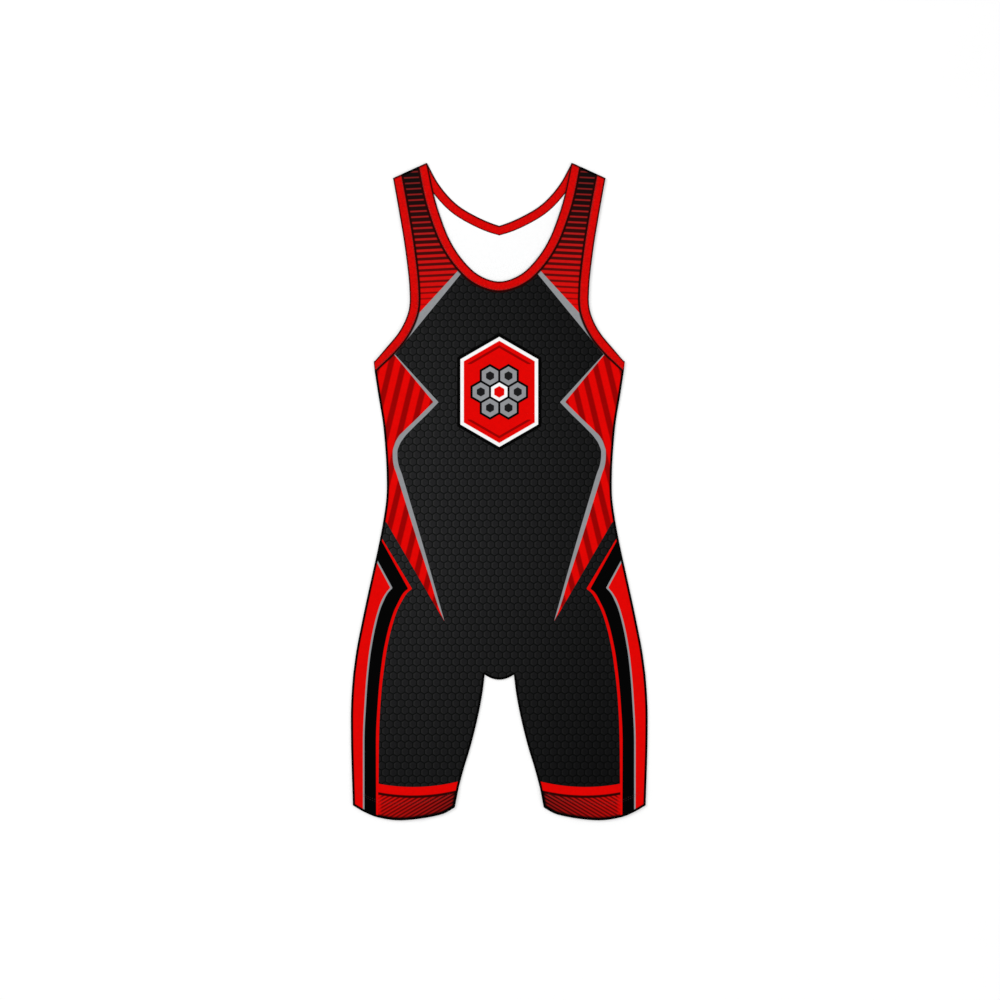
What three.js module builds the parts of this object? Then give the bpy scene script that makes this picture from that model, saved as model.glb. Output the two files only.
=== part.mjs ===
// A sleeveless wrestling singlet laid flat, front up: two knit panels that meet at the side
// seams, inseams, crotch and shoulders, and three folded binding strips round the neck and
// the armholes. Millimetres. X runs across the garment, Y from the leg hems to the shoulders
// and Z up from the table. The origin is under the middle of the garment.
import * as THREE from "three";

// Driving dimensions
const GARMENT_LENGTH = 855; // lowest point of the hems to the strap tops
const CLOTH = 1.0; // wall of the knit
const SEAM_GAP = 0.3; // between pieces that touch
const BINDING_WIDTH = 12.5; // finished width of the folded binding
const BINDING_THICKNESS = 1.6; // the strip folded round the raw edge
const HEM_DEPTH = 24; // of the turned-up leg hem
const HEM_PLY = 0.6; // what the turned-up hem adds to the wall
const HEM_SAG = 19.7; // how far a leg hem hangs below the line between its corners
const HEM_SAG_FADE = 150; // the knit's rows run level this far above the hem
const HEM_LOWEST_SHARE = 0.56; // of the leg opening, from the inseam
const CROTCH_DROP = 6.5; // how far the crotch bows down between the inseams
const SEAM_EDGE = 0.4; // share of the wall left at a seam, where the edge turns under

// The right half's outlines, from hem to shoulder: half width, and height above the hems
const SIDE_SEAM = [
  { half: 190.2, up: 20.2 },
  { half: 192.7, up: 104.7 },
  { half: 192.3, up: 156.7 },
  { half: 187.6, up: 208.7 },
  { half: 172.4, up: 286.7 },
  { half: 155.4, up: 364.7 },
  { half: 146.9, up: 416.7 },
  { half: 146.5, up: 455.7 },
  { half: 151.7, up: 520.7 },
  { half: 160.6, up: 572.7 },
  { half: 163.2, up: 597.4 },
];
const INSEAM = [
  { half: 57.7, up: 19 },
  { half: 50.4, up: 52.7 },
  { half: 35.1, up: 104.7 },
  { half: 23.4, up: 156.7 },
  { half: 18.9, up: 189.8 },
];
const ARMHOLE = [
  { half: 161.5, up: 597.6 },
  { half: 149.5, up: 611.7 },
  { half: 128.7, up: 637.7 },
  { half: 117.7, up: 663.7 },
  { half: 116.7, up: 689.7 },
  { half: 122.2, up: 741.7 },
  { half: 130.7, up: 793.7 },
  { half: 137.8, up: 833.4 },
];
const FRONT_NECK = [
  { half: 0, up: 700.7 },
  { half: 26.7, up: 709.2 },
  { half: 47.5, up: 728.7 },
  { half: 64.4, up: 754.7 },
  { half: 78.2, up: 790 },
  { half: 84.6, up: 812 },
  { half: 93.3, up: 853.6 },
];
const BACK_NECK = [
  { half: 0, up: 773.1 },
  { half: 20.2, up: 780.7 },
  { half: 54.2, up: 800.2 },
  { half: 78, up: 826.2 },
  { half: 93.3, up: 853.6 },
];

// The upper layer climbs where a binding or a hem lies under it, over this distance
const CLIMB = 30;
const LEVEL_MARGIN = 2;

// Mesh steps
const LINE_POINTS = 480;
const ARMHOLE_ROWS = 22;
const FRONT_CHEST_ROWS = 6;
const BACK_CHEST_ROWS = 11;
const TORSO_ROWS = 12;
const LEG_ROWS = 6;
const COLUMN_SHARES = [0.12, 0.33, 0.56, 0.76, 0.88]; // of a leg's width, from the inseam
const CROTCH_COLUMNS = 3;
const FOLD_STEPS = 4;
const END_BLEND = 0.14; // share of a binding over which it turns square to its end

const KNIT_BLACK = 0x1b1b1c;
const BINDING_RED = 0xcf0906;

const CHEST_DROP = 90; // of the torso's last level row, below the underarm
const FOLD_REACH = SEAM_GAP / 2 + BINDING_THICKNESS;
const PANEL_INSET = BINDING_WIDTH + SEAM_GAP;

function smooth(value) {
  return THREE.MathUtils.smoothstep(value, 0, 1);
}

function mix(from, to, share) {
  return from.clone().lerp(to, share);
}

// Evenly spaced points of a smooth line through a table's rows. A line that is level where
// it crosses the centre is fitted together with its mirror image.
function lineThrough(rows, levelAtCentre = false) {
  const base = GARMENT_LENGTH / 2;
  const right = rows.map(({ half, up }) => new THREE.Vector3(half, up - base, 0));
  const left = rows.slice(1).reverse().map(({ half, up }) => new THREE.Vector3(-half, up - base, 0));
  const curve = new THREE.CatmullRomCurve3(levelAtCentre ? [...left, ...right] : right);
  curve.curveType = "centripetal";
  curve.arcLengthDivisions = 1000;
  const spans = levelAtCentre ? 2 * LINE_POINTS : LINE_POINTS;
  const points = curve.getSpacedPoints(spans).map(({ x, y }) => new THREE.Vector2(x, y));
  return points.slice(-LINE_POINTS - 1);
}

function pointAt(line, share) {
  const place = THREE.MathUtils.clamp(share, 0, 1) * LINE_POINTS;
  const index = Math.min(Math.floor(place), LINE_POINTS - 1);
  return mix(line[index], line[index + 1], place - index);
}

// The point of a rising line at a height.
function pointAtHeight(line, y) {
  const index = Math.max(1, line.findIndex((point) => point.y >= y));
  const [below, above] = [line[index - 1], line[index]];
  return mix(below, above, (y - below.y) / (above.y - below.y));
}

function headingAt(line, share) {
  return pointAt(line, share + 0.01).sub(pointAt(line, share - 0.01)).normalize();
}

function distanceTo(line, point) {
  return line.reduce((nearest, place) => Math.min(nearest, place.distanceTo(point)), Infinity);
}

const sideSeam = lineThrough(SIDE_SEAM);
const inseam = lineThrough(INSEAM);
const underarm = sideSeam[LINE_POINTS];
const crotchCorner = inseam[LINE_POINTS];
const shoulderWay = new THREE.Vector2(
  ARMHOLE[ARMHOLE.length - 1].half - FRONT_NECK[FRONT_NECK.length - 1].half,
  ARMHOLE[ARMHOLE.length - 1].up - FRONT_NECK[FRONT_NECK.length - 1].up
).normalize();
const sideWay = headingAt(sideSeam, 1).negate();
const shoulderOut = new THREE.Vector2(-shoulderWay.y, shoulderWay.x);
const sideOut = new THREE.Vector2(-sideWay.y, sideWay.x);

// An edge that a binding closes round. The unit vector across points from the opening into
// the cloth. It turns towards a given direction at each end, where the binding is cut square
// or folded over to the other layer.
function boundEdge(rows, { outer, startAcross, endAcross, level = false }) {
  const line = lineThrough(rows, level);
  const acrossAt = (share) => {
    const heading = headingAt(line, share);
    const square = new THREE.Vector2(heading.y, -heading.x).multiplyScalar(outer ? -1 : 1);
    const atStart = smooth(1 - share / END_BLEND);
    const atEnd = smooth(1 - (1 - share) / END_BLEND);
    return square.lerp(startAcross, atStart).lerp(endAcross, atEnd).normalize();
  };
  const inwards = (share, distance) =>
    pointAt(line, share).addScaledVector(acrossAt(share), distance);
  return { line, acrossAt, inwards };
}

const down = new THREE.Vector2(0, -1);
const armhole = boundEdge(ARMHOLE, {
  outer: true,
  startAcross: sideWay,
  endAcross: shoulderWay.clone().negate(),
});
const frontNeck = boundEdge(FRONT_NECK, {
  outer: false,
  startAcross: down,
  endAcross: shoulderWay,
  level: true,
});
const backNeck = boundEdge(BACK_NECK, {
  outer: false,
  startAcross: down,
  endAcross: shoulderWay,
});
const sparse = (line) => line.filter((_, index) => index % 12 === 0);
const boundLines = [sparse(armhole.line), sparse(backNeck.line)];

// The leg hem's sag, from 0 at both seams to 1 at its lowest point.
function hemShape(share) {
  if (share <= 0 || share >= 1) return 0;
  if (share < HEM_LOWEST_SHARE) return 1 - (1 - share / HEM_LOWEST_SHARE) ** 3;
  return 1 - ((share - HEM_LOWEST_SHARE) / (1 - HEM_LOWEST_SHARE)) ** 2;
}

function heightAboveHem(point) {
  const share = (point.x - inseam[0].x) / (sideSeam[0].x - inseam[0].x);
  return point.y - mix(inseam[0], sideSeam[0], share).y + HEM_SAG * hemShape(share);
}

// How far the crotch seam bows below its corners. The knit's rows follow it for a short way.
function crotchBow(x, rise) {
  const across = x / crotchCorner.x;
  const fade = 1 - rise / (5 * CROTCH_DROP);
  return across < 1 && fade > 0 ? CROTCH_DROP * (1 - across ** 2) * fade : 0;
}

// The surface between the two layers. Under it lie the back panel and its bindings, on it the
// front ones. It is highest over the bindings and the hems, which are thicker than the cloth.
function middleHeight(point) {
  const clear = BINDING_WIDTH + LEVEL_MARGIN;
  const nearBinding = Math.min(...boundLines.map((line) => distanceTo(line, point))) - clear;
  const nearHem = heightAboveHem(point) - HEM_DEPTH - LEVEL_MARGIN;
  const thick = 1 - smooth(Math.min(nearBinding, nearHem) / CLIMB);
  return SEAM_GAP / 2 + CLOTH + (BINDING_THICKNESS - CLOTH) * thick;
}

function wallAt(point) {
  return CLOTH + HEM_PLY * (1 - smooth((heightAboveHem(point) - HEM_DEPTH) / LEVEL_MARGIN));
}

// Geometry from a list of points and triangles, wound so that its faces point out.
function closedGeometry(points, triangles) {
  const volume = triangles.reduce((sum, [a, b, c]) => {
    const cross = new THREE.Vector3().crossVectors(points[b], points[c]);
    return sum + points[a].dot(cross);
  }, 0);
  const facing = volume < 0 ? triangles.map(([a, b, c]) => [a, c, b]) : triangles;
  const geometry = new THREE.BufferGeometry().setFromPoints(points);
  geometry.setIndex(facing.flat());
  geometry.computeVertexNormals();
  return geometry;
}

// Panels

// One row of a panel's points, from its inner to its outer end. Each point says whether it
// lies on a seam. A wide row starts at the centre line or the neck, and has extra points as
// far as the crotch corner's column, so that it meets the leg's rows.
function rowPoints(row) {
  const { inner, outer, wide = false, sag = 0, rise = Infinity, seams = "" } = row;
  const cornerShare = crotchCorner.x / pointAtHeight(sideSeam, crotchCorner.y).x;
  const start = wide ? mix(inner, outer, cornerShare) : inner;
  const width = start.distanceTo(outer);
  const innerStep = rise > 0 && wide ? (width * COLUMN_SHARES[0]) / 2 : FOLD_REACH;
  const shares = [0, innerStep / width, ...COLUMN_SHARES, 1 - FOLD_REACH / width, 1];
  const lead = wide ? Array.from({ length: CROTCH_COLUMNS }, (_, i) => i / CROTCH_COLUMNS) : [];
  const whole = seams === "all";
  const atCrotch = wide && rise === 0;
  const place = (from, to, share, onSeam) => {
    const point = mix(from, to, share);
    point.y -= sag * hemShape(share) + crotchBow(point.x, rise);
    return { point, onSeam };
  };
  return [
    ...lead.map((share) => place(inner, start, share, whole || atCrotch)),
    ...shares.map((share, i) => {
      const first = i === 0 && (seams === "both" || atCrotch);
      const last = i === shares.length - 1 && (seams === "both" || seams === "outer");
      return place(start, outer, share, whole || first || last);
    }),
  ];
}

function legRows() {
  const rise = crotchCorner.y - inseam[0].y;
  const heights = [0, FOLD_REACH, HEM_DEPTH, HEM_DEPTH + LEVEL_MARGIN];
  const first = heights[heights.length - 1];
  for (let i = 1; i <= LEG_ROWS; i++) heights.push(first + ((rise - first) * i) / LEG_ROWS);
  return heights.map((height, i) => {
    const share = height / rise;
    const outerY = THREE.MathUtils.lerp(sideSeam[0].y, crotchCorner.y, share);
    return rowPoints({
      inner: i ? pointAtHeight(inseam, inseam[0].y + height) : inseam[0],
      outer: i ? pointAtHeight(sideSeam, outerY) : sideSeam[0],
      sag: HEM_SAG * (1 - smooth((height - first) / (HEM_SAG_FADE - first))),
      seams: i ? "both" : "all",
    });
  });
}

function torsoRows() {
  const sideEnd = underarm.y + sideWay.y * PANEL_INSET;
  const centreEnd = underarm.y - CHEST_DROP;
  const shares = [0, FOLD_REACH / (centreEnd - crotchCorner.y)];
  for (let i = 1; i <= TORSO_ROWS; i++) shares.push(i / TORSO_ROWS);
  return shares.map((share) => {
    const innerY = THREE.MathUtils.lerp(crotchCorner.y, centreEnd, share);
    const outerY = THREE.MathUtils.lerp(crotchCorner.y, sideEnd, share);
    return rowPoints({
      inner: new THREE.Vector2(0, innerY),
      outer: pointAtHeight(sideSeam, outerY),
      wide: true,
      rise: innerY - crotchCorner.y,
      seams: "outer",
    });
  });
}

function yokeRows(neck, chestRows) {
  const neckBottom = neck.inwards(0, PANEL_INSET).y;
  const chestStart = underarm.y - CHEST_DROP;
  const rows = [];
  for (let i = 0; i <= ARMHOLE_ROWS; i++) {
    const chestShare = (i + 1) / (chestRows + 1);
    const neckShare = (i - chestRows) / (ARMHOLE_ROWS - chestRows);
    const centre = new THREE.Vector2(0, THREE.MathUtils.lerp(chestStart, neckBottom, chestShare));
    rows.push({
      inner: i < chestRows ? centre : neck.inwards(neckShare, PANEL_INSET),
      outer: armhole.inwards(i / ARMHOLE_ROWS, PANEL_INSET),
      wide: true,
    });
  }
  const last = rows[ARMHOLE_ROWS];
  rows.push({
    inner: last.inner.clone().addScaledVector(shoulderOut, FOLD_REACH),
    outer: last.outer.clone().addScaledVector(shoulderOut, FOLD_REACH),
    wide: true,
    seams: "all",
  });
  return rows.map(rowPoints);
}

// A panel from its rows. Side is 1 for the front, above the middle surface, and -1 for the
// back, below it. Both halves are made from the right one, and share the points at x = 0.
function panelGeometry(side, neck, chestRows) {
  const inside = [];
  const outside = [];
  const known = new Map();
  const addPoint = ({ point, onSeam }, mirror) => {
    const key = `${Math.round(mirror * point.x * 1e4)} ${Math.round(point.y * 1e4)}`;
    if (known.has(key)) return known.get(key);
    const height = middleHeight(point) + (side * SEAM_GAP) / 2;
    const wall = wallAt(point) * (onSeam ? SEAM_EDGE : 1);
    inside.push(new THREE.Vector3(mirror * point.x, point.y, height));
    outside.push(new THREE.Vector3(mirror * point.x, point.y, height + side * wall));
    known.set(key, inside.length - 1);
    return inside.length - 1;
  };
  const faces = [];
  const addGrid = (rows, mirror) => {
    const grid = rows.map((row) => row.map((place) => addPoint(place, mirror)));
    const span = (a, b) => inside[a].distanceTo(inside[b]);
    for (let r = 1; r < grid.length; r++) {
      for (let c = 1; c < grid[r].length; c++) {
        const [a, b] = [grid[r - 1][c - 1], grid[r - 1][c]];
        const [d, e] = [grid[r][c - 1], grid[r][c]];
        const pair = span(a, e) < span(b, d) ? [[a, b, e], [a, e, d]] : [[a, b, d], [b, e, d]];
        faces.push(...(mirror > 0 ? pair : pair.map((face) => face.slice().reverse())));
      }
    }
  };
  const legs = legRows();
  const body = [...torsoRows(), ...yokeRows(neck, chestRows)];
  for (const mirror of [1, -1]) {
    addGrid(legs, mirror);
    addGrid(body, mirror);
  }
  return sheetGeometry(inside, outside, faces);
}

// A closed wall between two matching surfaces. An edge that only one face uses is on the
// outline, and gets a strip from one surface to the other.
function sheetGeometry(inside, outside, faces) {
  const count = inside.length;
  const used = new Set(faces.flatMap(([a, b, c]) => [`${a} ${b}`, `${b} ${c}`, `${c} ${a}`]));
  const triangles = [];
  for (const face of faces) {
    triangles.push(face.map((index) => index + count), face.slice().reverse());
    for (let i = 0; i < 3; i++) {
      const [a, b] = [face[i], face[(i + 1) % 3]];
      if (used.has(`${b} ${a}`)) continue;
      triangles.push([a, b, b + count], [a, b + count, a + count]);
    }
  }
  return closedGeometry([...inside, ...outside], triangles);
}

// Bindings

// The folded strip's section: distance in from the opening, and height from its middle.
const NOSE = BINDING_THICKNESS / 2;
const BINDING_SECTION = [
  { inwards: 0, height: -NOSE / 2 },
  { inwards: NOSE, height: -NOSE },
  { inwards: BINDING_WIDTH, height: -NOSE },
  { inwards: BINDING_WIDTH, height: NOSE },
  { inwards: NOSE, height: NOSE },
  { inwards: 0, height: NOSE / 2 },
];
const FOLD_RADIUS = (SEAM_GAP + BINDING_THICKNESS) / 2;

// Stations along a bound edge on one layer. Turn is 0 on the front and half a turn on the back.
function stationsAlong(edge, steps, turn) {
  return Array.from({ length: steps + 1 }, (_, i) => ({
    edge: pointAt(edge.line, i / steps),
    across: edge.acrossAt(i / steps),
    out: new THREE.Vector2(),
    turn,
  }));
}

// Stations where a strip folds over from one layer to the other, at the end of an edge.
function foldStations(edge, share, out, startTurn) {
  return Array.from({ length: FOLD_STEPS - 1 }, (_, i) => ({
    edge: pointAt(edge.line, share),
    across: edge.acrossAt(share),
    out,
    turn: Math.abs(startTurn - (Math.PI * (i + 1)) / FOLD_STEPS),
  }));
}

function mirrored(station) {
  const flip = ({ x, y }) => new THREE.Vector2(-x, y);
  const { edge, across, out, turn } = station;
  return { edge: flip(edge), across: flip(across), out: flip(out), turn };
}

// A closed strip through its stations, which go once round the opening.
function loopGeometry(stations) {
  const points = stations.flatMap(({ edge, across, out, turn }) =>
    BINDING_SECTION.map(({ inwards, height }) => {
      const place = edge.clone().addScaledVector(across, inwards);
      const level = middleHeight(new THREE.Vector2(Math.abs(place.x), place.y));
      const radius = FOLD_RADIUS + height;
      place.addScaledVector(out, radius * Math.sin(turn));
      return new THREE.Vector3(place.x, place.y, level + radius * Math.cos(turn));
    })
  );
  const size = BINDING_SECTION.length;
  const triangles = [];
  stations.forEach((_, s) => {
    const next = (s + 1) % stations.length;
    for (let i = 0; i < size; i++) {
      const j = (i + 1) % size;
      const [a, b] = [s * size + i, s * size + j];
      const [c, d] = [next * size + i, next * size + j];
      triangles.push([a, b, c], [b, d, c]);
    }
  });
  return closedGeometry(points, triangles);
}

function armholeStations() {
  return [
    ...stationsAlong(armhole, ARMHOLE_ROWS, 0),
    ...foldStations(armhole, 1, shoulderOut, 0),
    ...stationsAlong(armhole, ARMHOLE_ROWS, Math.PI).reverse(),
    ...foldStations(armhole, 0, sideOut, Math.PI),
  ];
}

function neckStations() {
  const right = [
    ...stationsAlong(frontNeck, ARMHOLE_ROWS - FRONT_CHEST_ROWS, 0),
    ...foldStations(frontNeck, 1, shoulderOut, 0),
    ...stationsAlong(backNeck, ARMHOLE_ROWS - BACK_CHEST_ROWS, Math.PI).reverse(),
  ];
  return [...right, ...right.slice(1, -1).reverse().map(mirrored)];
}

function piece(name, geometry, color) {
  const material = new THREE.MeshStandardMaterial({ color, roughness: 0.75, metalness: 0 });
  const mesh = new THREE.Mesh(geometry, material);
  mesh.name = name;
  return mesh;
}

const singlet = new THREE.Group();
singlet.add(
  piece("back_panel", panelGeometry(-1, backNeck, BACK_CHEST_ROWS), KNIT_BLACK),
  piece("front_panel", panelGeometry(1, frontNeck, FRONT_CHEST_ROWS), KNIT_BLACK),
  piece("neck_binding", loopGeometry(neckStations()), BINDING_RED),
  piece("armhole_binding_right", loopGeometry(armholeStations()), BINDING_RED),
  piece("armhole_binding_left", loopGeometry(armholeStations().map(mirrored)), BINDING_RED)
);

export default singlet;
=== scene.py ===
"""Looks of a wrestling singlet that lies flat, front up: two printed knit panels, three folded
bindings, their stitching and a plain stage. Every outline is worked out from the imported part.
Lengths in the tables are in millimetres and everything made is in metres."""

import math
from dataclasses import dataclass

import bmesh
import bpy
import numpy as np
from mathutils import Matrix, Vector, geometry, kdtree
from mathutils.bvhtree import BVHTree


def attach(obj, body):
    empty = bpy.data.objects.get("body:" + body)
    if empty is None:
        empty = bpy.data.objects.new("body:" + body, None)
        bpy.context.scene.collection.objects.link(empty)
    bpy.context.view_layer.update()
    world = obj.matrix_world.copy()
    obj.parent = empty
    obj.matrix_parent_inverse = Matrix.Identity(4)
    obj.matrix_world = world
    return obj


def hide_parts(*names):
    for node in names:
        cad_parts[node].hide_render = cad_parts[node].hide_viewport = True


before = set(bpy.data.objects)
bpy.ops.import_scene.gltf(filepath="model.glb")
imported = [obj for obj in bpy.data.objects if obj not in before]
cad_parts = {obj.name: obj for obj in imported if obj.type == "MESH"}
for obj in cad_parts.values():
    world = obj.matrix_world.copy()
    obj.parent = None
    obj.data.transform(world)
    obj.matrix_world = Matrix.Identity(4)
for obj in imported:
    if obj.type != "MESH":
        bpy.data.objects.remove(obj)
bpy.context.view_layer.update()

bl_info = {
    "name": "Flat wrestling singlet",
    "version": (1, 0, 0),
    "blender": (4, 5, 0),
    "location": "View3D > Sidebar > Singlet",
    "description": "Makes a printed stretch-knit wrestling singlet laid flat",
    "category": "Mesh",
}

MM = 0.001
BODY = "root"
BINDINGS = ("neck_binding", "armhole_binding_right", "armhole_binding_left")
FRONT, BACK = 1, -1
HEM_BELOW = -400  # only the leg hems lie lower than this
LOOK_FROM = 0.1  # metres above or below, from where the height of a surface is looked up
SIXTY_HIGH = math.sqrt(3) / 2  # height of a triangle of equal sides
PURE_BLACK = (0, 0, 0)

# How far the cloth's leg hem lies above the solids' hem: half width and lift
HEM_LIFT = [
    (60, -1.4), (66, -1.0), (72, -0.2), (77, -0.1), (82, 0.4), (87, 0.8), (92, 1.4), (98, 1.8),
    (104, 2.1), (113, 2.1), (118, 1.9), (124, 1.4), (129, 0.8), (134, 0.5), (160, 0.35), (186, 0),
]

# The solids' own sizes
SEAM_GAP = 0.3
BINDING_THICKNESS = 1.6
NOSE = BINDING_THICKNESS / 2
FOLD_RADIUS = (SEAM_GAP + BINDING_THICKNESS) / 2


def srgb(red, green, blue):
    """A colour given as 0 to 255 display values, as the linear values that shaders take."""
    shares = (value / 255 for value in (red, green, blue))
    return tuple(s / 12.92 if s <= 0.04045 else ((s + 0.055) / 1.055) ** 2.4 for s in shares)


# Lines of the print on the right half: half width and height along the garment, from the
# shoulders down. Each runs between two colours.
FLASH_GREY_EDGE = [
    (148.0, 192.2), (78.9, 116.4), (92.3, 102.4), (113.1, 82.0), (124.4, 69.5), (130.3, 59.2),
    (132.4, 50.6), (131.7, 39.8), (126.2, 21.8), (116.5, -10.7), (97.3, -75.7), (71.4, -167.4),
]
FLASH_RED_EDGE = [
    (148.1, 192.2), (85.6, 116.7), (112.0, 90.5), (124.8, 78.2), (131.2, 71.2), (136.3, 60.4),
    (138.4, 50.6), (138.0, 39.8), (132.9, 21.8), (122.8, -10.7), (108.3, -57.1), (96.0, -95.0),
    (87.7, -121.0), (81.8, -141.0), (72.6, -165.2), (71.4, -167.4),
]
FLASH_LOWER_EDGE = [(146.9, -39.2), (71.9, -167.5)]
CHEVRON_RED_OUTSIDE = [
    (152.4, -60.6), (113.2, -126.2), (119.8, -131.5), (126.4, -141.9), (133.2, -155.8),
    (138.8, -173.0), (143.7, -192.7), (148.8, -222.5), (154.4, -275.5), (156.5, -328.6),
    (157.0, -430.0),
]
CHEVRON_RED_INSIDE = [
    (154.5, -60.6), (118.3, -126.0), (124.5, -131.5), (131.1, -143.1), (138.7, -160.5),
    (147.5, -192.7), (152.7, -222.5), (157.9, -275.5), (160.2, -328.6), (159.8, -430.0),
]
CHEVRON_GREY_OUTSIDE = [
    (158.0, -89.6), (138.7, -125.0), (145.5, -132.7), (150.7, -143.1), (154.9, -153.5),
    (159.9, -172.1), (164.2, -192.7), (168.7, -222.5), (173.0, -275.5), (175.2, -328.6),
    (175.1, -430.0),
]
CHEVRON_GREY_INSIDE = [
    (160.2, -89.6), (141.6, -124.7), (148.0, -132.7), (154.1, -144.2), (157.9, -155.5),
    (162.7, -173.5), (166.6, -192.7), (170.8, -222.5), (175.1, -275.5), (177.2, -328.6),
    (177.0, -430.0),
]
SHOULDER_LINE = [(93.1, 428.1), (137.0, 408.2)]
YOKE_UPPER_EDGE = [(54.8, 285.9), (104.3, 232.0)]
YOKE_LOWER_EDGE = [(50.2, 282.7), (115.6, 202.9)]

# The straps' stripes by height: how far a red line rises out of the stripe's wave, and how red
# the lines and the gaps between them are
STRAP_THRESHOLD = [
    (0.91, 420), (0.86, 372), (0.77, 343), (0.60, 314), (0.42, 285), (0.26, 262), (0.1, 240),
]
STRAP_LINE_RED = [
    (0.31, 420), (0.32, 400), (0.42, 385), (0.46, 372), (0.50, 357), (0.54, 338), (0.64, 322),
    (0.77, 300), (0.84, 270), (1, 240),
]
STRAP_GAP_RED = [
    (0.0, 420), (0.01, 372), (0.03, 343), (0.05, 318), (0.1, 296), (0.17, 274), (0.3, 256),
    (0.5, 243), (1, 228),
]

# Painted light on the honeycomb's print by height: lightest at the belly, darkest at the hems
HONEYCOMB_PAINTED_LIGHT = [(0.7, 260), (0.88, 150), (1.0, 20), (1.0, -30), (0.8, -220), (0.55, -370)]

# The honeycomb's other measures: where its cells start and how much taller than even ones they
# are, the lines and lit crescents in them, and how the light falls off from left to right
HONEYCOMB = {
    "start_across": -0.74, "start_along": 3.18, "stretch": 1.0213,
    "half_line": 0.75, "line_strength": 0.95,
    "crescent_shift": 1.2, "crescent_inside": 0.42, "crescent_end": -0.9,
    "light_middle": 1.2, "light_sideways": -0.0034, "light_most": 1.5, "light_least": 0.78,
}

# The stripes: the pitch, the centre of one stripe, the lean, and what is particular to each kind
STRAP = {"pitch": 7.36, "centre": 377.29, "slope": 0.052}
STRAP_COLOURS = {"gap": srgb(15, 10, 10), "line": srgb(48, 42, 41)}
FLASH = {
    "pitch": 16.6, "centre": 181.2, "slope": 0.243, "threshold": 0.56,
    "top": 192, "tip": -167.6, "beyond": 100,
}
HATCH = {"pitch": 4.09, "centre": 0.135, "slant": 30.5}
HATCH_SHADE = {"outside": 156, "span": 100, "dark_below": -404}

# The cuff: the bow of its upper edge, the depth of its red band and the dark line at its foot
CUFF = {
    "middle": 112, "top": -383.6, "bow": 0.0021, "outside": 157.3,
    "band": 11.2, "foot": 12.6, "half_foot": 1.7, "plain_from": 154,
}

# The badge: a plate with two bars and a cluster of cells
BADGE = {
    "middle": 129.8, "half_wide": 50.5, "half_tall": 71.5,
    "pitch": 24.0, "bars": (9.5, 12.5), "bars_from": 36,
}

# Soft swells of the front panel, where a little air is left under it: the middle's place across
# and along, how far it reaches both ways, and its rise
SWELLS = [
    (-38, 78, 70, 130, 0.9),
    (52, -40, 60, 110, 0.8),
    (-96, -130, 62, 95, 0.8),
    (122, -275, 46, 100, 0.9),
    (-112, -300, 50, 95, 0.8),
    (10, 195, 80, 55, 0.6),
]


def length_property(name, description, millimetres):
    """A length that a user can change."""
    return bpy.props.FloatProperty(
        name=name, description=description, default=millimetres * MM, unit="LENGTH"
    )


class SingletSizes(bpy.types.PropertyGroup):
    """Sizes of the cloth, the print and the sewing."""

    knit: length_property("Knit", "Thickness of the stretch knit", 0.7)
    binding_ply: length_property("Binding ply", "Thickness of the binding's cloth", 0.42)
    mesh_step: length_property("Mesh step", "Spacing of the points in a panel", 4.5)
    honeycomb: length_property("Honeycomb", "Width of a printed honeycomb cell", 10.145)
    outline: length_property("Seam outline", "Width of the black edge along seams and hems", 3.1)
    stitch: length_property("Stitch", "Length of one stitch", 2.4)
    thread: length_property("Thread", "Diameter of the thread", 0.32)


def colour_property(name, description, display):
    """A colour that a user can change, given as display values."""
    return bpy.props.FloatVectorProperty(
        name=name, description=description, subtype="COLOR", min=0, max=1, default=srgb(*display)
    )


class SingletColours(bpy.types.PropertyGroup):
    """Colours of the print, the bindings and the thread."""

    red: colour_property("Red", "Bright red of the flashes and cuffs", (231, 3, 1))
    red_dark: colour_property("Dark red", "Shade stripes in the side flashes", (156, 0, 0))
    binding_red: colour_property("Binding red", "Red of the folded bindings", (227, 5, 3))
    thread: colour_property("Thread", "Dark red of the sewing thread", (44, 4, 3))
    # painted shade along a binding's fold and seam edges, and where it turns over the shoulder
    edge_shade: colour_property("Edge red", "Near-black red along a binding's edges", (52, 2, 1))
    grey: colour_property("Grey", "Grey lines and yoke bands", (148, 150, 153))
    black: colour_property("Black", "Plain black of the thigh stripe and outlines", (1, 1, 1))
    cell: colour_property("Honeycomb cell", "Charcoal inside a honeycomb cell", (27, 27, 28))
    cell_line: colour_property("Honeycomb line", "Near-black between the cells", (7, 9, 8))
    cell_light: colour_property("Honeycomb light", "Lit crescent inside a cell", (40, 40, 40))
    white: colour_property("White", "The badge's outline and the knit's reverse", (254, 254, 254))


def singlet_sizes():
    return bpy.context.scene.singlet_sizes


def singlet_colours():
    return bpy.context.scene.singlet_colours


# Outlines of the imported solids


def round_pairs(items):
    """Each item with the one after it, and the last with the first."""
    items = list(items)
    return zip(items, items[1:] + items[:1])


def outline_point(vertex):
    """Where a point of a solid's outline lies on the cloth, with the leg hem's small lift."""
    point = vertex.co.copy()
    if point.y < HEM_BELOW * MM:
        halves, lifts = zip(*HEM_LIFT)
        point.y += float(np.interp(abs(point.x) / MM, halves, lifts)) * MM
    return point


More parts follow.
